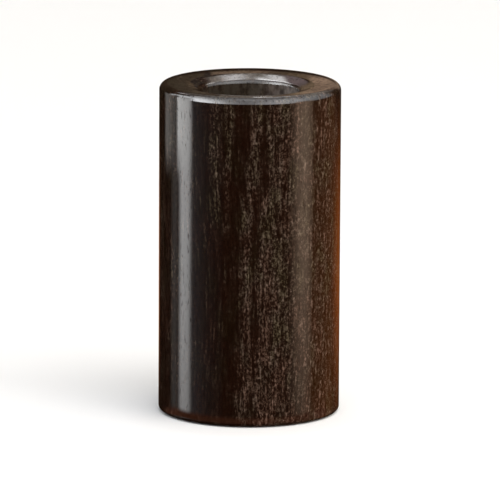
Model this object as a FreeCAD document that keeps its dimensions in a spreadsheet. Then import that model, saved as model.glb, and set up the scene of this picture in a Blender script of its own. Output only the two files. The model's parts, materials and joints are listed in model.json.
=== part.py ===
import FreeCAD, Part
import math
import os

import Sketcher

# A turned hardwood pot that holds dip pens upright on a desk.
#
# The pot is a thick-walled tube, bored right through and rebated from below. A stiff felt
# disc lies against the rebate's shoulder and is the floor of the well. A turned plug closes
# the rebate behind it, and a second felt disc in the plug's underside is what the pot
# stands on.
#
# Millimetres, +Z up. The origin is the centre of the standing face, so the desk is Z = 0.

DIMENSIONS = [
    # alias, value, meaning
    ("outer_diameter", 60.0, "pot, outside"),
    ("overall_height", 110.0, "desk to the top of the rim"),
    ("bore_diameter", 32.0, "well that the pens stand in"),
    ("mouth_diameter", 43.4, "inner edge of the rim's top face"),
    ("dish_fall", 0.6, "how far the top face falls from the rim's crest to the mouth"),
    ("rim_round", 2.4, "radius of the outer top edge"),
    ("mouth_ease", 6.0, "radius between the top face and the flare"),
    ("flare_angle", 18.0, "slope of the flare below level, degrees"),
    ("lip_round", 1.3, "radius between the flare and the bore"),
    ("foot_round", 1.2, "radius of the outer bottom edge"),
    ("rebate_diameter", 44.0, "recess under the pot that takes the plug"),
    ("rebate_chamfer", 0.4, "lead-in at the rebate's edge and on the plug"),
    ("plug_thickness", 10.0, "plug, top to bottom"),
    ("glue_gap", 0.08, "between the plug and the rebate, on the radius"),
    ("well_felt_thickness", 1.5, "felt floor of the well"),
    ("well_felt_gap", 0.25, "between the felt floor and the rebate, on the radius"),
    ("foot_recess_diameter", 36.6, "recess in the plug for the felt foot"),
    ("foot_recess_depth", 0.8, "recess in the plug for the felt foot"),
    ("foot_felt_diameter", 36.0, "felt foot"),
    ("foot_felt_thickness", 1.2, "felt foot, of which the recess takes up a part"),
]

SHEET = "Dimensions"
EXPORT_FOLDER = "parts"


def fill_sheet(doc):
    """Writes the driving dimensions into the document's spreadsheet, an alias for each."""
    sheet = doc.addObject("Spreadsheet::Sheet", SHEET)
    for row, (alias, value, meaning) in enumerate(DIMENSIONS, start=1):
        sheet.set(f"A{row}", alias)
        sheet.set(f"B{row}", str(value))
        sheet.set(f"C{row}", meaning)
        sheet.setAlias(f"B{row}", alias)
    doc.recompute()
    return sheet


def from_sheet(expression):
    """The expression with each alias in it spelled as a reference to the spreadsheet."""
    for alias, _, _ in DIMENSIONS:
        expression = expression.replace(f"<{alias}>", f"{SHEET}.{alias}")
    return expression


def bind(thing, path, expression):
    thing.setExpression(path, from_sheet(expression))


def new_body(doc, label, lift):
    """A PartDesign body with its own label, lifted off the desk by an expression."""
    body = doc.addObject("PartDesign::Body", label)
    body.Label = label
    bind(body, "Placement.Base.z", lift)
    return body


def new_sketch(body, name, plane_role):
    """A sketch attached to one of its own body's origin planes."""
    sketch = body.newObject("Sketcher::SketchObject", name)
    plane = next(f for f in body.Origin.OriginFeatures if f.Role == plane_role)
    sketch.AttachmentSupport = [(plane, "")]
    sketch.MapMode = "FlatFace"
    return sketch


def constrain(sketch, kind, *where, name=None, expression=None):
    """Adds one constraint, and binds it to the spreadsheet if it has a name."""
    index = sketch.addConstraint(Sketcher.Constraint(kind, *where))
    if name:
        sketch.renameConstraint(index, name)
        bind(sketch, f"Constraints.{name}", expression)


def add_circle_sketch(body, name, radius_now, radius_expression):
    """A sketch in the body's XY plane that holds one circle about the axis."""
    sketch = new_sketch(body, name, "XY_Plane")
    axis_up = FreeCAD.Vector(0, 0, 1)
    sketch.addGeometry(Part.Circle(FreeCAD.Vector(0, 0, 0), axis_up, radius_now))
    constrain(sketch, "Coincident", 0, 3, -1, 1)
    constrain(sketch, "Radius", 0, radius_now, name="radius", expression=radius_expression)
    return sketch


def checked_volume(doc, body):
    doc.recompute()
    return body.Shape.Volume


# --- the pot -----------------------------------------------------------------------------


def pot_profile_points(sheet):
    """Where the pot's profile starts from, close to where the solver leaves it.

    The pot's own height starts at its wooden foot, which the felt foot holds off the desk.
    """
    outer = sheet.outer_diameter / 2
    bore = sheet.bore_diameter / 2
    mouth = sheet.mouth_diameter / 2
    rebate = sheet.rebate_diameter / 2
    rim = sheet.rim_round
    foot = sheet.foot_round
    felt_proud = sheet.foot_felt_thickness - sheet.foot_recess_depth
    top = sheet.overall_height - felt_proud
    shoulder = sheet.plug_thickness + sheet.well_felt_thickness
    slope = math.radians(sheet.flare_angle)
    dish = math.atan(sheet.dish_fall / (outer - rim - mouth))

    ease_out = mouth - sheet.mouth_ease * (math.sin(slope) - math.sin(dish))
    ease_drop = sheet.mouth_ease * (math.cos(dish) - math.cos(slope))
    lip_out = bore + sheet.lip_round * (1 - math.sin(slope))
    flare_drop = (ease_out - lip_out) * math.tan(slope)
    lip_top = top - sheet.dish_fall - ease_drop - flare_drop
    lip_bottom = lip_top - sheet.lip_round * math.cos(slope)
    return {
        "rebate_edge": (rebate + sheet.rebate_chamfer, 0),
        "foot_inner": (outer - foot, 0),
        "foot_outer": (outer, foot),
        "rim_outer": (outer, top - rim),
        "rim_inner": (outer - rim - rim * math.sin(dish), top - rim * (1 - math.cos(dish))),
        "mouth": (mouth, top - sheet.dish_fall),
        "ease_end": (ease_out, top - sheet.dish_fall - ease_drop),
        "lip_start": (lip_out, lip_top),
        "lip_end": (bore, lip_bottom),
        "bore_end": (bore, shoulder),
        "shoulder": (rebate, shoulder),
        "rebate_start": (rebate, sheet.rebate_chamfer),
    }


def arc_about(centre, start, end):
    """The arc of a circle from start round to end, anticlockwise, about a centre."""
    (cx, cy), (ax, ay), (bx, by) = centre, start, end
    circle = Part.Circle(FreeCAD.Vector(cx, cy, 0), FreeCAD.Vector(0, 0, 1), math.hypot(ax - cx, ay - cy))
    return Part.ArcOfCircle(circle, math.atan2(ay - cy, ax - cx), math.atan2(by - cy, bx - cx))


def line_between(start, end):
    return Part.LineSegment(FreeCAD.Vector(*start, 0), FreeCAD.Vector(*end, 0))


def add_pot_profile(body, sheet):
    """Half of the pot's section, walked anticlockwise from the rebate's edge."""
    sketch = new_sketch(body, "pot_profile", "XZ_Plane")
    p = pot_profile_points(sheet)
    outer = sheet.outer_diameter / 2
    slope = math.radians(sheet.flare_angle)
    foot_centre = (outer - sheet.foot_round, sheet.foot_round)
    rim_centre = (outer - sheet.rim_round, p["rim_outer"][1])
    ease_centre = (
        p["ease_end"][0] + sheet.mouth_ease * math.sin(slope),
        p["ease_end"][1] - sheet.mouth_ease * math.cos(slope),
    )
    lip_centre = (sheet.bore_diameter / 2 + sheet.lip_round, p["lip_end"][1])

    walk = [
        ("foot_face", line_between(p["rebate_edge"], p["foot_inner"])),
        ("foot_arc", arc_about(foot_centre, p["foot_inner"], p["foot_outer"])),
        ("side", line_between(p["foot_outer"], p["rim_outer"])),
        ("rim_arc", arc_about(rim_centre, p["rim_outer"], p["rim_inner"])),
        ("top_face", line_between(p["rim_inner"], p["mouth"])),
        ("ease_arc", arc_about(ease_centre, p["mouth"], p["ease_end"])),
        ("flare", line_between(p["ease_end"], p["lip_start"])),
        ("lip_arc", arc_about(lip_centre, p["lip_start"], p["lip_end"])),
        ("bore_wall", line_between(p["lip_end"], p["bore_end"])),
        ("shoulder_face", line_between(p["bore_end"], p["shoulder"])),
        ("rebate_wall", line_between(p["shoulder"], p["rebate_start"])),
        ("rebate_bevel", line_between(p["rebate_start"], p["rebate_edge"])),
    ]
    edge = {name: sketch.addGeometry(shape) for name, shape in walk}
    start, end, centre = 1, 2, 3
    origin = (-1, 1)

    smooth = {"foot_arc", "rim_arc", "ease_arc", "lip_arc"}
    names = [name for name, _ in walk]
    for here, after in zip(names, names[1:] + names[:1]):
        kind = "Tangent" if here in smooth or after in smooth else "Coincident"
        constrain(sketch, kind, edge[here], end, edge[after], start)

    for name in ("foot_face", "shoulder_face"):
        constrain(sketch, "Horizontal", edge[name])
    for name in ("side", "bore_wall", "rebate_wall"):
        constrain(sketch, "Vertical", edge[name])
    constrain(sketch, "PointOnObject", edge["foot_face"], start, -1)

    pot_height = "<overall_height> - <foot_felt_thickness> + <foot_recess_depth>"
    shoulder_height = "<plug_thickness> + <well_felt_thickness>"
    radii = [
        ("foot_arc", "foot_round"),
        ("rim_arc", "rim_round"),
        ("ease_arc", "mouth_ease"),
        ("lip_arc", "lip_round"),
    ]
    for name, alias in radii:
        now = getattr(sheet, alias)
        constrain(sketch, "Radius", edge[name], now, name=alias, expression=f"<{alias}>")

    across = [
        ("outer_radius", edge["side"], start, p["rim_outer"][0], "<outer_diameter> / 2"),
        ("mouth_radius", edge["top_face"], end, p["mouth"][0], "<mouth_diameter> / 2"),
        ("bore_radius", edge["bore_wall"], start, p["lip_end"][0], "<bore_diameter> / 2"),
        ("rebate_radius", edge["rebate_wall"], start, p["shoulder"][0], "<rebate_diameter> / 2"),
        ("bevel_radius", edge["foot_face"], start, p["rebate_edge"][0],
         "<rebate_diameter> / 2 + <rebate_chamfer>"),
    ]
    for name, geometry, point, now, expression in across:
        constrain(sketch, "DistanceX", *origin, geometry, point, now, name=name, expression=expression)

    upward = [
        ("rim_centre_height", edge["rim_arc"], centre, rim_centre[1], f"{pot_height} - <rim_round>"),
        ("mouth_height", edge["top_face"], end, p["mouth"][1], f"{pot_height} - <dish_fall>"),
        ("shoulder_height", edge["shoulder_face"], end, p["shoulder"][1], shoulder_height),
        ("bevel_height", edge["rebate_bevel"], start, p["rebate_start"][1], "<rebate_chamfer>"),
    ]
    for name, geometry, point, now, expression in upward:
        constrain(sketch, "DistanceY", *origin, geometry, point, now, name=name, expression=expression)

    constrain(
        sketch, "Angle", edge["flare"], -math.pi + slope,
        name="flare_slope", expression="<flare_angle> - 180",
    )
    return sketch


def make_pot(doc, sheet):
    """The turned tube: one revolved profile."""
    body = new_body(doc, "turned_pot", "<foot_felt_thickness> - <foot_recess_depth>")
    sketch = add_pot_profile(body, sheet)
    doc.recompute()
    turning = body.newObject("PartDesign::Revolution", "pot_turning")
    turning.Profile = sketch
    turning.ReferenceAxis = (sketch, ["V_Axis"])
    turning.Angle = 360
    sketch.Visibility = False
    doc.recompute()
    return body


# --- the plug ----------------------------------------------------------------------------


def make_plug(doc, sheet):
    """The disc that closes the rebate, with a shallow recess for the felt foot."""
    body = new_body(doc, "base_plug", "<foot_felt_thickness> - <foot_recess_depth>")
    blank = add_circle_sketch(
        body, "plug_circle",
        sheet.rebate_diameter / 2 - sheet.glue_gap,
        "<rebate_diameter> / 2 - <glue_gap>",
    )
    disc = body.newObject("PartDesign::Pad", "plug_disc")
    disc.Profile = blank
    bind(disc, "Length", "<plug_thickness>")
    whole = checked_volume(doc, body)

    ring = add_circle_sketch(
        body, "recess_circle", sheet.foot_recess_diameter / 2, "<foot_recess_diameter> / 2"
    )
    recess = body.newObject("PartDesign::Pocket", "felt_recess")
    recess.Profile = ring
    recess.Reversed = True
    bind(recess, "Length", "<foot_recess_depth>")
    cut = whole - checked_volume(doc, body)
    wanted = math.pi / 4 * sheet.foot_recess_diameter**2 * sheet.foot_recess_depth
    if abs(cut - wanted) > 1e-3 * wanted:
        raise RuntimeError(f"the felt recess removed {cut:.1f} mm3 instead of {wanted:.1f} mm3")

    outer = sheet.rebate_diameter / 2 - sheet.glue_gap
    rims = [
        f"Edge{number}"
        for number, edge in enumerate(recess.Shape.Edges, start=1)
        if isinstance(edge.Curve, Part.Circle) and abs(edge.Curve.Radius - outer) < 1e-6
    ]
    bevel = body.newObject("PartDesign::Chamfer", "plug_bevels")
    bevel.Base = (recess, rims)
    bind(bevel, "Size", "<rebate_chamfer>")
    body.Tip = bevel
    for sketch in (blank, ring):
        sketch.Visibility = False
    doc.recompute()
    return body


# --- the felts ---------------------------------------------------------------------------


def make_felt(doc, label, radius, thickness, lift):
    """A plain felt disc, punched from sheet."""
    felt = doc.addObject("Part::Cylinder", label)
    felt.Label = label
    bind(felt, "Radius", radius)
    bind(felt, "Height", thickness)
    bind(felt, "Placement.Base.z", lift)
    return felt


def make_felts(doc):
    well = make_felt(
        doc, "well_felt",
        "<rebate_diameter> / 2 - <well_felt_gap>",
        "<well_felt_thickness>",
        "<foot_felt_thickness> - <foot_recess_depth> + <plug_thickness>",
    )
    foot = make_felt(doc, "foot_felt", "<foot_felt_diameter> / 2", "<foot_felt_thickness>", "0")
    return [well, foot]


# --- the document ------------------------------------------------------------------------


def check(doc, subparts):
    """Stops on any failed object, loose sketch or unsound solid."""
    doc.recompute()
    for thing in doc.Objects:
        if {"Invalid", "Error"} & set(thing.State):
            raise RuntimeError(f"{thing.Label} failed: {thing.State}")
        if thing.TypeId == "Sketcher::SketchObject" and thing.solve() != 0:
            raise RuntimeError(f"{thing.Label} does not solve")
        if thing.TypeId == "Sketcher::SketchObject" and not thing.FullyConstrained:
            raise RuntimeError(f"{thing.Label} is not fully constrained")
    for subpart in subparts:
        if subpart.Shape.isNull() or not subpart.Shape.isValid():
            raise RuntimeError(f"{subpart.Label} has no valid shape")


def export(subparts):
    os.makedirs(EXPORT_FOLDER, exist_ok=True)
    for subpart in subparts:
        subpart.Shape.exportStep(os.path.join(EXPORT_FOLDER, f"{subpart.Label}.step"))
        box = subpart.Shape.optimalBoundingBox(True, False)
        print(
            f"{subpart.Label}: {subpart.Shape.Volume:.1f} mm3,"
            f" diameter {box.XLength:.2f}, Z {box.ZMin:.3f} to {box.ZMax:.3f}"
        )


def main():
    doc = FreeCAD.newDocument("DipPenPot")
    sheet = fill_sheet(doc)
    subparts = [make_pot(doc, sheet), make_plug(doc, sheet)]
    subparts += make_felts(doc)
    check(doc, subparts)
    export(subparts)


main()
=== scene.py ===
import json
import math

import bpy
from mathutils import Matrix, Vector, noise


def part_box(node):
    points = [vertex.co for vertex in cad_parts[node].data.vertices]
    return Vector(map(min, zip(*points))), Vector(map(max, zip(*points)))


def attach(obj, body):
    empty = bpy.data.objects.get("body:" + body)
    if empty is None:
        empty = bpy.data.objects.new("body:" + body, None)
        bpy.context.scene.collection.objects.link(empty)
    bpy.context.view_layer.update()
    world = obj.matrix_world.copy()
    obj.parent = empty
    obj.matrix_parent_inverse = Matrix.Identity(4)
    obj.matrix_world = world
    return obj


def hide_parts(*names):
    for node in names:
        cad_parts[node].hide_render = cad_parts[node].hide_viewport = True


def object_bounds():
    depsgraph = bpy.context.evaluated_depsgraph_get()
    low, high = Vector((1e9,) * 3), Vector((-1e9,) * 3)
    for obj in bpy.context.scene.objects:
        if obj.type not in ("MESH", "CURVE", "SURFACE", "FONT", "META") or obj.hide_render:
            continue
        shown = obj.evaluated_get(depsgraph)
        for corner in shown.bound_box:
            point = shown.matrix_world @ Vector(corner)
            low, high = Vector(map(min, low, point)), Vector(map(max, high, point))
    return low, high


# The looks of a turned hardwood dip pen pot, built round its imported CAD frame. Metres, +Z up.

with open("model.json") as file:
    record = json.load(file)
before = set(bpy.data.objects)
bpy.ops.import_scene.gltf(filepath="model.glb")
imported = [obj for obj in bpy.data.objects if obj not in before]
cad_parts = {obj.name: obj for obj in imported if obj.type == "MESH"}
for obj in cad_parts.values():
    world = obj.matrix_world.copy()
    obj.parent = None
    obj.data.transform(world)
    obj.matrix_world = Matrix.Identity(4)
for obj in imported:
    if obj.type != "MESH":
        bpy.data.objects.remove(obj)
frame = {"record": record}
cad_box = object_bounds()

MM = 0.001
BODY = "root"

# ---- sizes read from the frame ------------------------------------------------------------

POT_LOW, POT_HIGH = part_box("turned_pot")
PLUG_LOW, PLUG_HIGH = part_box("base_plug")
FLOOR_FELT_LOW, FLOOR_FELT_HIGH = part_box("well_felt")
FOOT_FELT_LOW, FOOT_FELT_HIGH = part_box("foot_felt")
BORE = next(m for m in frame["record"]["mounts"] if m["name"] == "pen_well")

OUTER_R = POT_HIGH.x
BORE_R = BORE["dims"]["r_mm"] * MM
PLUG_R = PLUG_HIGH.x
SHOULDER_Z = FLOOR_FELT_HIGH.z
REBATE_R = 22.0 * MM
CENTRE = (cad_box[0] + cad_box[1]) / 2

# ---- the pot's section, above what the frame says -----------------------------------------

RIM_ROUND = 2.4 * MM
FOOT_ROUND = 1.2 * MM
MOUTH_R = 21.7 * MM
DISH_FALL = 0.6 * MM
MOUTH_EASE = 6.0 * MM
LIP_ROUND = 1.3 * MM
FLARE = math.radians(18)
BEVEL = 0.4 * MM
RECESS_DEPTH = 0.8 * MM
RECESS_R = 18.3 * MM

SHARP_EDGE = math.radians(32)
POT_SEGMENTS = 256
PLUG_SEGMENTS = 128
FELT_SEGMENTS = 144

# Sanding takes SANDED_DEPTH off the wall, from this radius out, and leaves (depth, size, seed)
# ripples.
SANDED_FROM_MM = 28
SANDED_BLEND_MM = 1.5
SANDED_DEPTH = 0.018 * MM
RIPPLES = ((0.012 * MM, 11 * MM, 4.0), (0.006 * MM, 4 * MM, 9.0))
FELT_NAP = 0.05 * MM


# ---- mesh code ----------------------------------------------------------------------------


def line(start, end, pitch):
    """Points from start up to but not including end, about pitch apart."""
    run = math.dist(start, end)
    steps = max(1, round(run / pitch))
    return [
        (start[0] + (end[0] - start[0]) * i / steps, start[1] + (end[1] - start[1]) * i / steps)
        for i in range(steps)
    ]


def arc(centre, radius, start, end, steps):
    """Points on an arc from start up to but not including end, in radians."""
    return [
        (
            centre[0] + radius * math.cos(start + (end - start) * i / steps),
            centre[1] + radius * math.sin(start + (end - start) * i / steps),
        )
        for i in range(steps)
    ]


def lathe(name, profile, segments, closed=True, shape=None):
    """A piece turned from a profile of (radius, height) points, walked with the solid on the left.

    A point on the axis becomes one vertex. shape(point) may move each vertex a little.
    """
    verts, rings = [], []
    for radius, height in profile:
        if radius < 1e-7:
            rings.append([len(verts)] * segments)
            verts.append(Vector((0, 0, height)))
            continue
        rings.append(list(range(len(verts), len(verts) + segments)))
        for i in range(segments):
            turn = 2 * math.pi * i / segments
            verts.append(Vector((radius * math.cos(turn), radius * math.sin(turn), height)))
    if shape:
        verts = [shape(v) for v in verts]
    faces = []
    pairs = list(zip(rings, rings[1:])) + ([(rings[-1], rings[0])] if closed else [])
    for lower, upper in pairs:
        for i in range(segments):
            after = (i + 1) % segments
            corners = [lower[i], lower[after], upper[after], upper[i]]
            face = [c for k, c in enumerate(corners) if c != corners[k - 1]]
            if len(face) > 2:
                faces.append(face)
    mesh = bpy.data.meshes.new(name)
    mesh.from_pydata(verts, [], faces)
    mesh.validate()
    mesh.shade_smooth()
    mesh.set_sharp_from_angle(angle=SHARP_EDGE)
    piece = bpy.data.objects.new(name, mesh)
    bpy.context.scene.collection.objects.link(piece)
    return piece


def smooth_noise(point, size, seed):
    """Noise from -1 to 1 with features of about the given size."""
    return noise.noise(point / size + Vector((seed, seed * 1.7, seed * 2.3)))


# ---- node code ----------------------------------------------------------------------------


class Graph:
    """Builds one material's nodes; each method returns the output socket it made."""

    def __init__(self, name, world=False):
        if world:
            self.owner = bpy.data.worlds.new(name)
        else:
            self.owner = bpy.data.materials.new(name)
        self.owner.use_nodes = True
        self.tree = self.owner.node_tree
        self.tree.nodes.clear()

    def add(self, kind, **settings):
        node = self.tree.nodes.new(kind)
        for key, value in settings.items():
            setattr(node, key, value)
        return node

    def feed(self, socket, value):
        """Links an output into an input, or sets the input to a plain value."""
        if isinstance(value, bpy.types.NodeSocket):
            self.tree.links.new(value, socket)
        else:
            socket.default_value = value

    def math(self, operation, *values):
        node = self.add("ShaderNodeMath", operation=operation)
        for socket, value in zip(node.inputs, values):
            self.feed(socket, value)
        return node.outputs[0]

    def vector(self, operation, *values):
        node = self.add("ShaderNodeVectorMath", operation=operation)
        for socket, value in zip(node.inputs, values):
            self.feed(socket, value)
        plain = operation in ("LENGTH", "DISTANCE", "DOT_PRODUCT")
        return node.outputs["Value" if plain else "Vector"]

    def object_mm(self):
        """The point in the row frame, in millimetres."""
        coords = self.add("ShaderNodeTexCoord")
        return self.vector("MULTIPLY", coords.outputs["Object"], (1000, 1000, 1000))

    def split(self, vector):
        node = self.add("ShaderNodeSeparateXYZ")
        self.feed(node.inputs[0], vector)
        return node.outputs

    def join(self, x=0.0, y=0.0, z=0.0):
        node = self.add("ShaderNodeCombineXYZ")
        for socket, value in zip(node.inputs, (x, y, z)):
            self.feed(socket, value)
        return node.outputs[0]

    def noise(self, vector, detail=2.0, roughness=0.5, distortion=0.0, colour=False):
        node = self.add("ShaderNodeTexNoise")
        self.feed(node.inputs["Vector"], vector)
        self.feed(node.inputs["Scale"], 1.0)
        self.feed(node.inputs["Detail"], detail)
        self.feed(node.inputs["Roughness"], roughness)
        self.feed(node.inputs["Distortion"], distortion)
        return node.outputs["Color" if colour else "Fac"]

    def cells(self, vector):
        """A Voronoi texture's outputs."""
        node = self.add("ShaderNodeTexVoronoi", feature="F1")
        self.feed(node.inputs["Vector"], vector)
        self.feed(node.inputs["Scale"], 1.0)
        return node.outputs

    def scaled(self, vector, x, y, z, shift=0.0):
        """The vector measured in cells of x by y by z, and moved along by shift cells."""
        stretched = self.vector("DIVIDE", vector, (x, y, z))
        return self.vector("ADD", stretched, (shift, shift * 0.7, shift * 1.3))

    def fade(self, value, low, high, to_low=0.0, to_high=1.0):
        """A smooth step from to_low at low to to_high at high."""
        node = self.add("ShaderNodeMapRange", interpolation_type="SMOOTHSTEP")
        for name, setting in (
            ("Value", value),
            ("From Min", low),
            ("From Max", high),
            ("To Min", to_low),
            ("To Max", to_high),
        ):
            self.feed(node.inputs[name], setting)
        return node.outputs[0]

    def ramp(self, value, stops):
        """A colour from (position, colour) stops, with even blends between them."""
        node = self.add("ShaderNodeValToRGB")
        elements = node.color_ramp.elements
        while len(elements) < len(stops):
            elements.new(0.5)
        for element, (position, colour) in zip(elements, stops):
            element.position = position
            element.color = (*colour, 1.0)
        self.feed(node.inputs[0], value)
        return node.outputs[0]

    def mix(self, factor, first, second, blend="MIX"):
        node = self.add("ShaderNodeMix", data_type="RGBA", blend_type=blend)
        self.feed(node.inputs[0], factor)
        for socket, value in ((node.inputs[6], first), (node.inputs[7], second)):
            self.feed(socket, (*value, 1.0) if isinstance(value, tuple) else value)
        return node.outputs[2]

    def bump(self, height, distance, strength):
        node = self.add("ShaderNodeBump")
        self.feed(node.inputs["Height"], height)
        self.feed(node.inputs["Distance"], distance)
        self.feed(node.inputs["Strength"], strength)
        return node.outputs[0]

    def surface(self, **sockets):
        """A Principled shader on the material's output, with its sockets by name."""
        shader = self.add("ShaderNodeBsdfPrincipled")
        for name, value in sockets.items():
            self.feed(shader.inputs[name.replace("_", " ")], value)
        output = self.add("ShaderNodeOutputMaterial")
        self.feed(output.inputs["Surface"], shader.outputs[0])
        return self.owner


# ---- materials ----------------------------------------------------------------------------

# The pith, in mm. The rings lean out by GRAIN_LEAN of the height, measured from MID_HEIGHT.
PITH = (-60, 64, 0)
MID_HEIGHT = 55.0
GRAIN_LEAN = 0.022

# How much pale fleck the wood carries, by distance in mm from the pith: RINGS at every height,
# and RUNOUT in two streaks that end half way down the pot.
RINGS_FROM, RINGS_TO = 84.0, 124.0
RINGS = (
    (85, 0.50),
    (92, 0.42),
    (97, 0.20),
    (103, 0.06),
    (107.4, 0.02),
    (109.2, 0.06),
    (110.2, 0.62),
    (111.8, 0.80),
    (112.5, 0.45),
    (113.1, 0.16),
    (113.8, 0.80),
    (115.4, 1.00),
    (117.0, 0.75),
    (118.5, 0.95),
    (123, 0.55),
)
RUNOUT = (
    (85, 0.25),
    (96, 0.10),
    (100.8, 0.15),
    (102.0, 0.68),
    (104.0, 0.55),
    (105.0, 0.15),
    (106.2, 0.72),
    (107.1, 0.10),
    (110.0, 0.0),
)

# The wood's colour, from its darkest tone to its palest fleck.
WOOD_TONES = (
    (0.00, (0.0058, 0.0023, 0.0011)),
    (0.28, (0.0076, 0.0033, 0.0017)),
    (0.40, (0.0106, 0.0056, 0.0033)),
    (0.50, (0.0158, 0.0098, 0.0063)),
    (0.62, (0.0250, 0.0172, 0.0117)),
    (0.72, (0.0375, 0.0270, 0.0193)),
    (0.85, (0.0600, 0.0460, 0.0350)),
    (1.00, (0.1180, 0.0930, 0.0750)),
)

# A slight drift of hue over the wood, which multiplies its colour.
WOOD_TINTS = ((0.0, (1.04, 0.80, 0.76)), (0.5, (0.98, 0.88, 0.86)), (1.0, (0.95, 0.95, 0.79)))

# The bore wall's colour: dust at its darkest, rising to a pale tone of painted light near the mouth on
# the +X side.
BORE_DUST_AND_PAINTED_LIGHT = (
    (0.0, (0.036, 0.029, 0.022)),
    (0.45, (0.070, 0.058, 0.046)),
    (0.80, (0.19, 0.155, 0.135)),
    (1.0, (0.36, 0.31, 0.28)),
)


def ring_stops(levels):
    """Ramp stops for (distance, level) pairs between RINGS_FROM and RINGS_TO."""
    return [((mm - RINGS_FROM) / (RINGS_TO - RINGS_FROM), (level,) * 3) for mm, level in levels]


def polished_wood():
    """Ebony-like heartwood: rings about a pith behind the pot, pale flecks along the grain."""
    g = Graph("polished_hardwood")
    point = g.object_mm()
    px, py, pz = g.split(point)

    # The grain wanders slowly over the pot, and the rings a little more quickly.
    lean = g.noise(g.scaled(point, 45, 45, 90, 3.1), 1.0, 0.5, colour=True)
    wander = g.noise(g.scaled(point, 9, 9, 26, 7.7), 2.0, 0.55, colour=True)
    shift = g.vector("MULTIPLY", g.vector("SUBTRACT", lean, (0.5, 0.5, 0.5)), (9, 9, 0))
    small = g.vector("MULTIPLY", g.vector("SUBTRACT", wander, (0.5, 0.5, 0.5)), (4.0, 4.0, 0))
    grain = g.vector("ADD", point, shift)

    # How rich in pale fleck the wood is here.
    x, y, _ = g.split(g.vector("SUBTRACT", g.vector("ADD", point, small), PITH))
    ring_r = g.vector("LENGTH", g.join(x, y, 0.0))
    ring_r = g.math("ADD", ring_r, g.math("MULTIPLY", g.math("SUBTRACT", MID_HEIGHT, pz), GRAIN_LEAN))
    across = g.math("DIVIDE", g.math("SUBTRACT", ring_r, RINGS_FROM), RINGS_TO - RINGS_FROM)
    rich = g.ramp(across, ring_stops(RINGS))
    streak = g.math("MULTIPLY", g.ramp(across, ring_stops(RUNOUT)), g.fade(pz, 46.0, 74.0))
    rich = g.math("MAXIMUM", rich, streak)
    clouds = g.noise(g.scaled(grain, 7, 7, 17, 5.5), 2.0, 0.6)
    rich = g.math("ADD", rich, g.math("MULTIPLY", g.math("SUBTRACT", clouds, 0.5), 1.1))
    rich = g.fade(rich, 0.03, 0.95)

    # Long streaks, short flecks and single pores, all along the grain.
    streaks = g.noise(g.scaled(grain, 0.85, 0.85, 9, 2.2), 2.0, 0.55)
    flecks = g.noise(g.scaled(grain, 0.80, 0.80, 1.35, 6.1), 4.0, 0.8)
    cells = g.cells(g.scaled(grain, 0.62, 0.62, 1.3, 1.0))
    pores = g.fade(cells["Distance"], 0.12, 0.40, 1.0, 0.0)
    present = g.fade(g.split(cells["Color"])[0], 0.45, 0.80)

    # Their sum picks the colour.
    tone = g.fade(rich, 0.0, 1.0, 0.30, 0.53)
    tone = g.math("ADD", tone, g.math("MULTIPLY", g.math("SUBTRACT", streaks, 0.5), 1.05))
    swing = g.fade(rich, 0.0, 1.0, 1.40, 2.70)
    tone = g.math("ADD", tone, g.math("MULTIPLY", g.math("SUBTRACT", flecks, 0.5), swing))
    speck = g.math("MULTIPLY", g.math("MULTIPLY", pores, present), g.fade(rich, 0.0, 1.0, 0.02, 0.22))
    colour = g.ramp(g.math("ADD", tone, speck), WOOD_TONES)
    hue = g.noise(g.scaled(grain, 5, 5, 12, 3.9), 2.0, 0.5)
    hue = g.math("SUBTRACT", hue, g.math("MULTIPLY", g.fade(pz, 10.0, 60.0, 1.0, 0.0), 0.08))
    tint = g.ramp(g.fade(hue, 0.3, 0.7), WOOD_TINTS)
    colour = g.mix(1.0, colour, tint, "MULTIPLY")

    # The bore's wall is dusty, and is painted paler near the mouth on its +X side as painted light from
    # the upper left.
    radius = g.vector("LENGTH", g.join(px, py, 0.0))
    inside = g.math("MULTIPLY", g.fade(radius, 16.2, 16.9, 1.0, 0.0), g.fade(pz, 106.0, 108.0, 1.0, 0.0))
    dust = g.noise(g.scaled(point, 2.2, 2.2, 4, 8.0), 3.0, 0.6)
    # Painted light: the wall turns paler towards +X near the mouth, as if lit from the upper left.
    painted_light_side = g.math("MULTIPLY", g.fade(px, -9.0, 15.0), g.fade(pz, 84.0, 101.0))
    dust_and_painted_light = g.ramp(painted_light_side, BORE_DUST_AND_PAINTED_LIGHT)
    dust_and_light_amount = g.math("MULTIPLY", inside, g.fade(dust, 0.35, 0.65, 0.25, 0.95))
    colour = g.mix(dust_and_light_amount, colour, dust_and_painted_light)

    # The polish: broken over the pits, thin inside, worn on the top face and off the -X lip.
    pits = g.noise(g.scaled(grain, 0.45, 0.45, 3.0, 9.4), 2.0, 0.6)
    coat = g.math("MULTIPLY", g.fade(pits, 0.30, 0.42, 0.35, 1.0), g.fade(inside, 0.0, 1.0, 1.0, 0.35))
    worn = g.fade(g.noise(g.scaled(point, 1.5, 1.5, 3.0, 12.6), 3.0, 0.65), 0.45, 0.66, 0.0, 0.45)
    coat = g.math("SUBTRACT", coat, g.math("MULTIPLY", worn, g.fade(pz, 108.3, 109.3)))
    rubbed = g.math("MULTIPLY", g.fade(px, -15.5, -13.0, 1.0, 0.0), g.fade(radius, 17.1, 17.9, 1.0, 0.0))
    coat = g.math("MULTIPLY", coat, g.fade(rubbed, 0.0, 1.0, 1.0, 0.15))
    return g.surface(
        Base_Color=colour,
        Roughness=g.fade(flecks, 0.4, 0.7, 0.4, 0.55),
        Specular_IOR_Level=0.0,
        Normal=g.bump(g.fade(flecks, 0.5, 0.72, 1.0, 0.0), 0.00003, 0.35),
        Coat_Weight=coat,
        Coat_Roughness=0.06,
        Coat_IOR=1.5,
        Coat_Normal=g.bump(pits, 0.00002, 0.25),
    )


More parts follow.
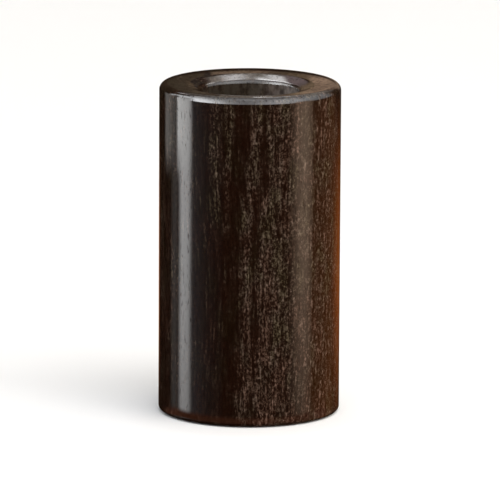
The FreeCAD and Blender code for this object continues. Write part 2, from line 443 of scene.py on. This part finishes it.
def plug_wood():
    """The same kind of wood, unpolished, with its rings across the disc."""
    g = Graph("plug_hardwood")
    point = g.object_mm()
    rings = g.noise(g.scaled(point, 3.5, 3.5, 60, 4.0), 3.0, 0.6)
    pores = g.cells(g.scaled(point, 0.7, 0.7, 3.0, 2.0))
    fleck = g.fade(pores["Distance"], 0.12, 0.3, 1.0, 0.0)
    base = g.mix(g.fade(rings, 0.35, 0.65), (0.012, 0.007, 0.0045), (0.035, 0.02, 0.012))
    colour = g.mix(g.math("MULTIPLY", fleck, 0.8), base, (0.1, 0.075, 0.05))
    normal = g.bump(g.math("SUBTRACT", 1.0, fleck), 0.00005, 0.6)
    return g.surface(Base_Color=colour, Roughness=0.55, Normal=normal)


def felt(name, shade):
    """Pressed wool, mottled round one shade."""
    g = Graph(name)
    point = g.object_mm()
    wool = g.noise(g.scaled(point, 0.35, 0.35, 0.35, 1.0), 4.0, 0.7, 1.2)
    patches = g.noise(g.scaled(point, 5, 5, 5, 2.0), 2.0, 0.5)
    dark = tuple(c * 0.5 for c in shade)
    pale = tuple(c * 1.6 for c in shade)
    colour = g.mix(g.fade(wool, 0.3, 0.7), dark, pale)
    colour = g.mix(g.fade(patches, 0.3, 0.7, 0.0, 0.35), colour, pale)
    return g.surface(
        Base_Color=colour,
        Roughness=0.95,
        Normal=g.bump(wool, 0.0003, 0.7),
        Sheen_Weight=0.4,
        Sheen_Roughness=0.5,
    )


# ---- the pieces ---------------------------------------------------------------------------


def pot_profile():
    """The pot's section, from the rebate's edge out, up, over the rim and down the bore."""
    top, bottom = POT_HIGH.z, POT_LOW.z
    dish = math.atan(DISH_FALL / (OUTER_R - RIM_ROUND - MOUTH_R))
    mouth_z = top - DISH_FALL
    ease = (MOUTH_R + MOUTH_EASE * math.sin(dish), mouth_z - MOUTH_EASE * math.cos(dish))
    ease_end = (ease[0] - MOUTH_EASE * math.sin(FLARE), ease[1] + MOUTH_EASE * math.cos(FLARE))
    lip_r = BORE_R + LIP_ROUND
    flare_end_r = lip_r - LIP_ROUND * math.sin(FLARE)
    flare_end_z = ease_end[1] - (ease_end[0] - flare_end_r) * math.tan(FLARE)
    lip = (lip_r, flare_end_z - LIP_ROUND * math.cos(FLARE))
    quarter = math.pi / 2
    points = line((REBATE_R + BEVEL, bottom), (OUTER_R - FOOT_ROUND, bottom), 1.5 * MM)
    points += arc((OUTER_R - FOOT_ROUND, bottom + FOOT_ROUND), FOOT_ROUND, -quarter, 0, 10)
    points += line((OUTER_R, bottom + FOOT_ROUND), (OUTER_R, top - RIM_ROUND), 1.5 * MM)
    points += arc((OUTER_R - RIM_ROUND, top - RIM_ROUND), RIM_ROUND, 0, quarter + dish, 14)
    rim_inner = (
        OUTER_R - RIM_ROUND - RIM_ROUND * math.sin(dish),
        top - RIM_ROUND + RIM_ROUND * math.cos(dish),
    )
    points += line(rim_inner, (MOUTH_R, mouth_z), 0.8 * MM)
    points += arc(ease, MOUTH_EASE, quarter + dish, quarter + FLARE, 10)
    points += line(ease_end, (flare_end_r, flare_end_z), 0.6 * MM)
    points += arc(lip, LIP_ROUND, quarter + FLARE, math.pi, 10)
    points += line((BORE_R, lip[1]), (BORE_R, SHOULDER_Z), 2.0 * MM)
    points += line((BORE_R, SHOULDER_Z), (REBATE_R, SHOULDER_Z), 2.0 * MM)
    points += line((REBATE_R, SHOULDER_Z), (REBATE_R, bottom + BEVEL), 2.0 * MM)
    points += [(REBATE_R, bottom + BEVEL)]
    return points


def hand_finish(point):
    """Sanding leaves the turned wall very slightly uneven."""
    out = Vector((point.x, point.y, 0))
    if out.length < SANDED_FROM_MM * MM:
        return point
    ripple = sum(depth * smooth_noise(point, size, seed) for depth, size, seed in RIPPLES)
    amount = min(1.0, (out.length / MM - SANDED_FROM_MM) / SANDED_BLEND_MM)
    return point - out.normalized() * (SANDED_DEPTH - ripple) * amount


def make_pot():
    pot = lathe("pot", pot_profile(), POT_SEGMENTS, shape=hand_finish)
    pot.data.materials.append(polished_wood())
    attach(pot, BODY)
    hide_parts("turned_pot")


def make_plug():
    """The disc that closes the rebate, with a recess below for the foot felt."""
    low, high = PLUG_LOW.z, PLUG_HIGH.z
    points = [(0, low + RECESS_DEPTH)]
    points += line((0.5 * MM, low + RECESS_DEPTH), (RECESS_R, low + RECESS_DEPTH), 1.0 * MM)
    points += line((RECESS_R, low + RECESS_DEPTH), (RECESS_R, low), 0.4 * MM)
    points += line((RECESS_R, low), (PLUG_R - BEVEL, low), 0.8 * MM)
    points += line((PLUG_R - BEVEL, low), (PLUG_R, low + BEVEL), 0.3 * MM)
    points += line((PLUG_R, low + BEVEL), (PLUG_R, high - BEVEL), 1.5 * MM)
    points += line((PLUG_R, high - BEVEL), (PLUG_R - BEVEL, high), 0.3 * MM)
    points += line((PLUG_R - BEVEL, high), (0.5 * MM, high), 1.0 * MM)
    points += [(0, high)]
    plug = lathe("plug", points, PLUG_SEGMENTS, closed=False)
    plug.data.materials.append(plug_wood())
    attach(plug, BODY)
    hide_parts("base_plug")


def make_felt(name, low, high, node, shade):
    """A round felt, flat below and a little uneven on its upper half."""
    radius = high.x
    edge = 0.3 * MM

    def fuzz(point):
        lift = abs(FELT_NAP * smooth_noise(point, 1.2 * MM, 3.0))
        upper = point.z - low.z > 0.5 * (high.z - low.z)
        return point + Vector((0, 0, -lift if upper else 0))

    points = [(0, low.z)]
    points += line((0.5 * MM, low.z), (radius - edge, low.z), 0.6 * MM)
    points += arc((radius - edge, low.z + edge), edge, -math.pi / 2, 0, 4)
    points += line((radius, low.z + edge), (radius, high.z - edge), 0.4 * MM)
    points += arc((radius - edge, high.z - edge), edge, 0, math.pi / 2, 4)
    points += line((radius - edge, high.z), (0.5 * MM, high.z), 0.6 * MM)
    points += [(0, high.z)]
    disc = lathe(name, points, FELT_SEGMENTS, closed=False, shape=fuzz)
    disc.data.materials.append(felt(name, shade))
    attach(disc, BODY)
    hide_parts(node)


# ---- the studio ---------------------------------------------------------------------------


CAMERA_DISTANCE = 2.374
CAMERA_ELEVATION = math.radians(11.24)
CAMERA_ROLL = math.radians(0.3)
VIEW_WIDTH = 0.16545
AIM_SHIFT = Vector((0.0002, 0, -0.00127))
SENSOR_WIDTH = 36


def make_camera():
    """A long lens in front of the pot and a little above it."""
    aim = CENTRE + AIM_SHIFT
    back = Vector((0, -math.cos(CAMERA_ELEVATION), math.sin(CAMERA_ELEVATION)))
    data = bpy.data.cameras.new("camera")
    data.sensor_width = SENSOR_WIDTH
    data.lens = SENSOR_WIDTH * CAMERA_DISTANCE / VIEW_WIDTH
    data.clip_start, data.clip_end = 0.1, 20
    camera = bpy.data.objects.new("camera", data)
    bpy.context.scene.collection.objects.link(camera)
    facing = (-back).to_track_quat("-Z", "Y").to_matrix().to_4x4()
    roll = Matrix.Rotation(CAMERA_ROLL, 4, "Z")
    camera.matrix_world = Matrix.Translation(aim + back * CAMERA_DISTANCE) @ facing @ roll
    bpy.context.scene.camera = camera


def make_floor():
    """A wide pale floor, which reflections don't see."""
    g = Graph("studio_floor")
    g.surface(Base_Color=(0.870, 0.880, 0.895, 1.0), Roughness=0.9, Specular_IOR_Level=0.1)
    mesh = bpy.data.meshes.new("studio_floor")
    reach = 6.0
    corners = [(-reach, -reach, 0), (reach, -reach, 0), (reach, reach, 0), (-reach, reach, 0)]
    mesh.from_pydata(corners, [], [(0, 1, 2, 3)])
    floor = bpy.data.objects.new("studio_floor", mesh)
    mesh.materials.append(g.owner)
    bpy.context.scene.collection.objects.link(floor)
    floor.visible_glossy = False


# The light that the rim and the mouth reflect, from left to right: how far to the right its
# direction points, and how bright it is.
SKY = (
    (-1.0, 11.0),
    (-0.9, 17.0),
    (-0.7, 11.0),
    (-0.45, 4.5),
    (-0.1, 2.6),
    (0.15, 3.6),
    (0.45, 5.0),
    (0.8, 5.2),
    (1.0, 3.0),
)
SKY_FULL = 18.0
SKY_TOP = 4.0

# Softboxes high up behind the pot and one overhead: (direction, size, colour).
BACK_BOXES = (
    ((0.10, 0.70, 0.71), 0.14, (4.5, 4.4, 4.4)),
    ((-0.48, 0.57, 0.66), 0.15, (4.4, 4.2, 4.2)),
)
OVERHEAD_BOX = ((-0.56, 0.18, 0.81), 0.28, (5.5, 5.4, 5.4))


def make_world():
    """White round the camera, even light for matt surfaces, softboxes in a dark room for gloss."""
    g = Graph("studio", world=True)
    path = g.add("ShaderNodeLightPath")
    way = g.add("ShaderNodeTexCoord").outputs["Generated"]
    x, y, z = g.split(way)

    # The sky over the front and the sides, dimmer behind and with a gap in it on the left.
    stops = [(x_at / 2 + 0.5, (level / SKY_FULL,) * 3) for x_at, level in SKY]
    sky = g.ramp(g.math("MULTIPLY_ADD", x, 0.5, 0.5), stops)
    sky = g.mix(g.fade(z, 0.84, 0.98), sky, (SKY_TOP / SKY_FULL,) * 3)
    sky = g.mix(1.0, sky, (0.96 * SKY_FULL, 0.98 * SKY_FULL, 1.0 * SKY_FULL), "MULTIPLY")
    sky = g.mix(1.0, sky, g.fade(y, -0.40, 0.45, 1.0, 0.35), "MULTIPLY")
    low = g.math("ADD", z, g.math("MULTIPLY", g.math("ABSOLUTE", x), 0.08))
    flagged = g.math("MULTIPLY", g.fade(x, -0.82, -0.68), g.fade(x, -0.48, -0.25, 1.0, 0.0))
    behind = g.math("MULTIPLY_ADD", flagged, 0.34, y)
    reach = g.math("MULTIPLY", g.fade(behind, 0.38, 0.68, 1.0, 0.0), g.fade(low, 0.03, 0.10))

    # The dark room, paler high up behind the pot.
    room = g.mix(g.fade(y, 0.2, 0.9), (0.014, 0.006, 0.003), (0.014, 0.007, 0.004))
    height = g.math("MULTIPLY_ADD", g.math("MINIMUM", x, 0.0), 0.85, z)
    high = g.mix(g.fade(height, 0.28, 0.66), (0.06, 0.042, 0.026), (1.15, 1.05, 0.94))
    for centre, size, level in BACK_BOXES:
        off = g.vector("DISTANCE", way, centre)
        high = g.mix(g.fade(off, 0.0, size, 1.0, 0.0), high, level)
    room = g.mix(g.math("MULTIPLY", g.fade(y, 0.2, 0.5), g.fade(z, 0.0, 0.12)), room, high)
    room = g.mix(reach, room, sky)
    centre, size, level = OVERHEAD_BOX
    off = g.vector("DISTANCE", way, centre)
    room = g.mix(g.fade(off, 0.0, size, 1.0, 0.0), room, level)

    # Matt surfaces get more and warmer light from the right; the camera sees white.
    matt = g.mix(g.fade(x, -0.1, 0.9), (1.0, 1.0, 1.0), (1.0, 0.90, 0.76))
    matt = g.mix(1.0, matt, g.math("MULTIPLY_ADD", x, 0.45, 0.96), "MULTIPLY")
    light = g.mix(path.outputs["Is Camera Ray"], matt, (1.0, 1.0, 1.0))
    light = g.mix(path.outputs["Is Glossy Ray"], light, room)
    background = g.add("ShaderNodeBackground")
    g.feed(background.inputs["Color"], light)
    output = g.add("ShaderNodeOutputWorld")
    g.feed(output.inputs["Surface"], background.outputs[0])
    bpy.context.scene.world = g.owner


def make_light(name, place, size, power, colour):
    """A soft area light aimed at the pot, which lights matt surfaces only."""
    data = bpy.data.lights.new(name, "AREA")
    data.shape = "RECTANGLE"
    data.size, data.size_y = size
    data.energy = power
    data.color = colour
    lamp = bpy.data.objects.new(name, data)
    lamp.location = place
    lamp.rotation_euler = (CENTRE - Vector(place)).to_track_quat("-Z", "Y").to_euler()
    lamp.visible_camera = False
    lamp.visible_glossy = False
    bpy.context.scene.collection.objects.link(lamp)


def reflected_only(g, glow, colour, mesh):
    """Finishes a studio mesh that only polished surfaces see, clear where its glow is 0."""
    emission = g.add("ShaderNodeEmission")
    g.feed(emission.inputs["Color"], (*colour, 1.0) if isinstance(colour, tuple) else colour)
    clear = g.add("ShaderNodeBsdfTransparent")
    blend = g.add("ShaderNodeMixShader")
    g.feed(blend.inputs[0], glow)
    g.feed(blend.inputs[1], clear.outputs[0])
    g.feed(blend.inputs[2], emission.outputs[0])
    output = g.add("ShaderNodeOutputMaterial")
    g.feed(output.inputs["Surface"], blend.outputs[0])
    g.owner.cycles.emission_sampling = "NONE"
    mesh.materials.append(g.owner)
    thing = bpy.data.objects.new(mesh.name, mesh)
    bpy.context.scene.collection.objects.link(thing)
    thing.visible_camera = False
    thing.visible_diffuse = False
    thing.visible_shadow = False
    thing.visible_transmission = False


def aimed(azimuth, distance):
    """The floor point at an azimuth from the front, in degrees, clockwise."""
    turn = math.radians(azimuth)
    return (distance * math.sin(turn), -distance * math.cos(turn))


def make_card(name, start, end, low, high, colour, soft):
    """An upright glowing card between two floor points.

    soft is the share of the card over which it fades at its start, its end, the bottom and the
    top. colour is one colour, or (position, colour) stops from its start to its end.
    """
    g = Graph(name)
    coords = g.add("ShaderNodeTexCoord")
    u, v, _ = g.split(coords.outputs["UV"])
    sides = g.math("MULTIPLY", g.fade(u, 0.0, soft[0]), g.fade(u, 1.0 - soft[1], 1.0, 1.0, 0.0))
    ends = g.math("MULTIPLY", g.fade(v, 0.0, soft[2]), g.fade(v, 1.0 - soft[3], 1.0, 1.0, 0.0))
    shade = g.ramp(u, colour) if isinstance(colour[0], tuple) else colour

    corners = [(*start, low), (*end, low), (*end, high), (*start, high)]
    mesh = bpy.data.meshes.new(name)
    mesh.from_pydata(corners, [], [(0, 1, 2, 3)])
    layer = mesh.uv_layers.new(name="card")
    for loop, uv in zip(layer.data, ((0, 0), (1, 0), (1, 1), (0, 1))):
        loop.uv = uv
    reflected_only(g, g.math("MULTIPLY", sides, ends), shade, mesh)


def make_table_glow():
    """The warm table top close round the pot, as the foot of its polished wall reflects it."""
    g = Graph("table_glow")
    point = g.object_mm()
    radius = g.vector("LENGTH", point)
    glow = g.math("MULTIPLY", g.fade(radius, 30.5, 34.0), g.fade(radius, 39.0, 47.0, 1.0, 0.0))
    glow = g.math("MULTIPLY", glow, g.fade(g.split(point)[1], -16.0, -2.0, 1.0, 0.0))
    mesh = bpy.data.meshes.new("table_glow")
    reach, height, count = 0.050, 0.0003, 96
    turns = [2 * math.pi * i / count for i in range(count)]
    rim = [(reach * math.cos(a), reach * math.sin(a), height) for a in turns]
    mesh.from_pydata(rim, [], [tuple(range(count))])
    reflected_only(g, glow, (0.40, 0.135, 0.072), mesh)


def make_rim_shade():
    """A dark flat half ring just behind and above the rim, a thin line in the top face's far edge."""
    g = Graph("rim_shade")
    point = g.object_mm()
    x, y, _ = g.split(point)
    radius = g.vector("LENGTH", g.join(x, y, 0.0))
    glow = g.math("MULTIPLY", g.fade(radius, 30.1, 31.5), g.fade(radius, 34.0, 34.8, 1.0, 0.0))
    glow = g.math("MULTIPLY", glow, g.fade(y, 10.0, 16.0))
    mesh = bpy.data.meshes.new("rim_shade")
    inner, outer, height = 0.030, 0.035, 0.1122
    turns = [math.radians(a) for a in range(0, 181, 4)]
    edges = [(r * math.cos(a), r * math.sin(a), height) for r in (inner, outer) for a in turns]
    count = len(turns)
    mesh.from_pydata(edges, [], [(i, i + 1, count + i + 1, count + i) for i in range(count - 1)])
    reflected_only(g, glow, (0.020, 0.013, 0.009), mesh)


# From left to right behind the mouth, what the top face reflects.
BACK_SHADES = (
    (0.10, (0.075, 0.060, 0.040)),
    (0.29, (0.13, 0.098, 0.066)),
    (0.50, (0.24, 0.165, 0.10)),
    (0.62, (0.36, 0.25, 0.16)),
    (0.72, (0.31, 0.215, 0.13)),
    (0.88, (0.50, 0.33, 0.23)),
)
# From the strip round to the front, what the left of the pot reflects.
HAZE_SHADES = (
    (0.0, (0.28, 0.30, 0.325)),
    (0.10, (0.20, 0.212, 0.23)),
    (0.30, (0.10, 0.104, 0.11)),
    (0.60, (0.05, 0.047, 0.047)),
    (1.0, (0.025, 0.02, 0.02)),
)
DARK = (0.045, 0.043, 0.043)

# Each card's name, start, end, bottom, top, colour or shades, and soft shares. Where two cards
# overlap, a surface reflects the nearer one.
CARDS = (
    # The highlights on the wall: the cool strip, then the warm side and the orange edges.
    ("strip_card", (-0.45, -0.134), (-0.45, 0.092), -0.25, 0.35, (4.65, 4.65, 4.65),
     (0.38, 0.35, 0.42, 0.1)),
    ("upper_card", (-0.449, -0.128), (-0.449, 0.236), -0.004, 0.2, (5.9, 5.9, 5.85),
     (0.28, 0.19, 0.11, 0.2)),
    ("haze_card", (-0.452, -0.115), (-0.452, -0.75), -0.3, 0.11, HAZE_SHADES,
     (0.02, 0.2, 0.01, 0.1)),
    ("shoulder_card", (-0.443, 0.150), (-0.315, 0.333), -0.002, 0.2, (0.75, 0.72, 0.68),
     (0.1, 0.35, 0.08, 0.3)),
    ("edge_card", (-0.470, 0.04), (-0.40, 0.225), -0.3, 0.3, (0.33, 0.33, 0.32),
     (0.5, 0.5, 0.05, 0.1)),
    ("warm_card", (0.389, -0.36), (0.53, 0.03), -0.17, 0.25, (1.85, 1.3, 0.92),
     (0.5, 0.5, 0.40, 0.3)),
    ("ember_card", aimed(66, 0.6), aimed(140, 0.6), -0.4, 0.2, (0.33, 0.10, 0.02),
     (0.3, 0.3, 0.05, 0.5)),
    ("orange_card", aimed(120, 0.42), aimed(176, 0.40), -0.100, 0.055, (0.50, 0.120, 0.018),
     (0.37, 0.5, 0.5, 0.5)),
    ("left_edge_card", aimed(-152, 0.40), aimed(-182, 0.40), -0.088, 0.032, (0.50, 0.17, 0.05),
     (0.6, 0.1, 0.4, 0.4)),
    # Close behind the rim, for the top face and the mouth.
    ("back_card", (-0.028, 0.12), (0.028, 0.12), 0.1095, 0.150, BACK_SHADES,
     (0.02, 0.2, 0.05, 0.14)),
    ("flag_card", (-0.0165, 0.040), (-0.0062, 0.040), 0.1180, 0.1280, DARK,
     (0.2, 0.25, 0.15, 0.3)),
    ("dark_flank_card", (-0.0152, 0.035), (-0.0124, 0.035), 0.1128, 0.1175, DARK,
     (0.3, 0.3, 0.2, 0.25)),
    ("lip_flag_card", (-0.0122, 0.034), (-0.0080, 0.034), 0.1090, 0.1122, DARK,
     (0.2, 0.3, 0.05, 0.3)),
    ("flank_card", (0.0065, 0.035), (0.0150, 0.035), 0.1150, 0.1262, (0.72, 0.56, 0.57),
     (0.3, 0.15, 0.8, 0.2)),
    ("far_rim_card", (-0.0145, 0.036), (0.0100, 0.036), 0.1117, 0.1162, (0.55, 0.38, 0.26),
     (0.2, 0.35, 0.6, 0.05)),
    ("flare_card", (0.0020, 0.040), (0.0088, 0.040), 0.1262, 0.1330, (4.3, 4.2, 4.2),
     (0.35, 0.3, 0.3, 0.12)),
    ("spark_card", (0.0002, 0.0395), (0.0068, 0.0395), 0.1295, 0.1400, (9.0, 9.0, 9.0),
     (0.3, 0.3, 0.15, 0.3)),
    ("near_beige_card", (0.0175, 0.035), (0.0270, 0.035), 0.1157, 0.1188, (0.97, 0.65, 0.45),
     (0.25, 0.3, 0.3, 0.1)),
    ("beige_card", (0.016, 0.121), (0.098, 0.121), 0.1095, 0.190, (0.50, 0.34, 0.24),
     (0.14, 0.3, 0.02, 0.3)),
)


def make_studio():
    make_camera()
    make_floor()
    make_world()
    make_light("key", (0.35, -0.7, 1.1), (0.9, 0.9), 7, (1.0, 0.98, 0.96))
    make_light("fill", (0.9, -0.5, 0.7), (0.7, 0.7), 4, (1.0, 0.95, 0.9))
    make_table_glow()
    make_rim_shade()
    for card in CARDS:
        make_card(*card)


# ---- building it --------------------------------------------------------------------------

FELT_SHADE = (0.03, 0.026, 0.023)

make_pot()
make_plug()
make_felt(
    "floor_felt", FLOOR_FELT_LOW, FLOOR_FELT_HIGH, "well_felt", FELT_SHADE
)
make_felt(
    "underside_felt", FOOT_FELT_LOW, FOOT_FELT_HIGH, "foot_felt", FELT_SHADE,
)
make_studio()

bpy.context.scene.view_settings.view_transform = "Standard"
bpy.context.scene.view_settings.look = "None"
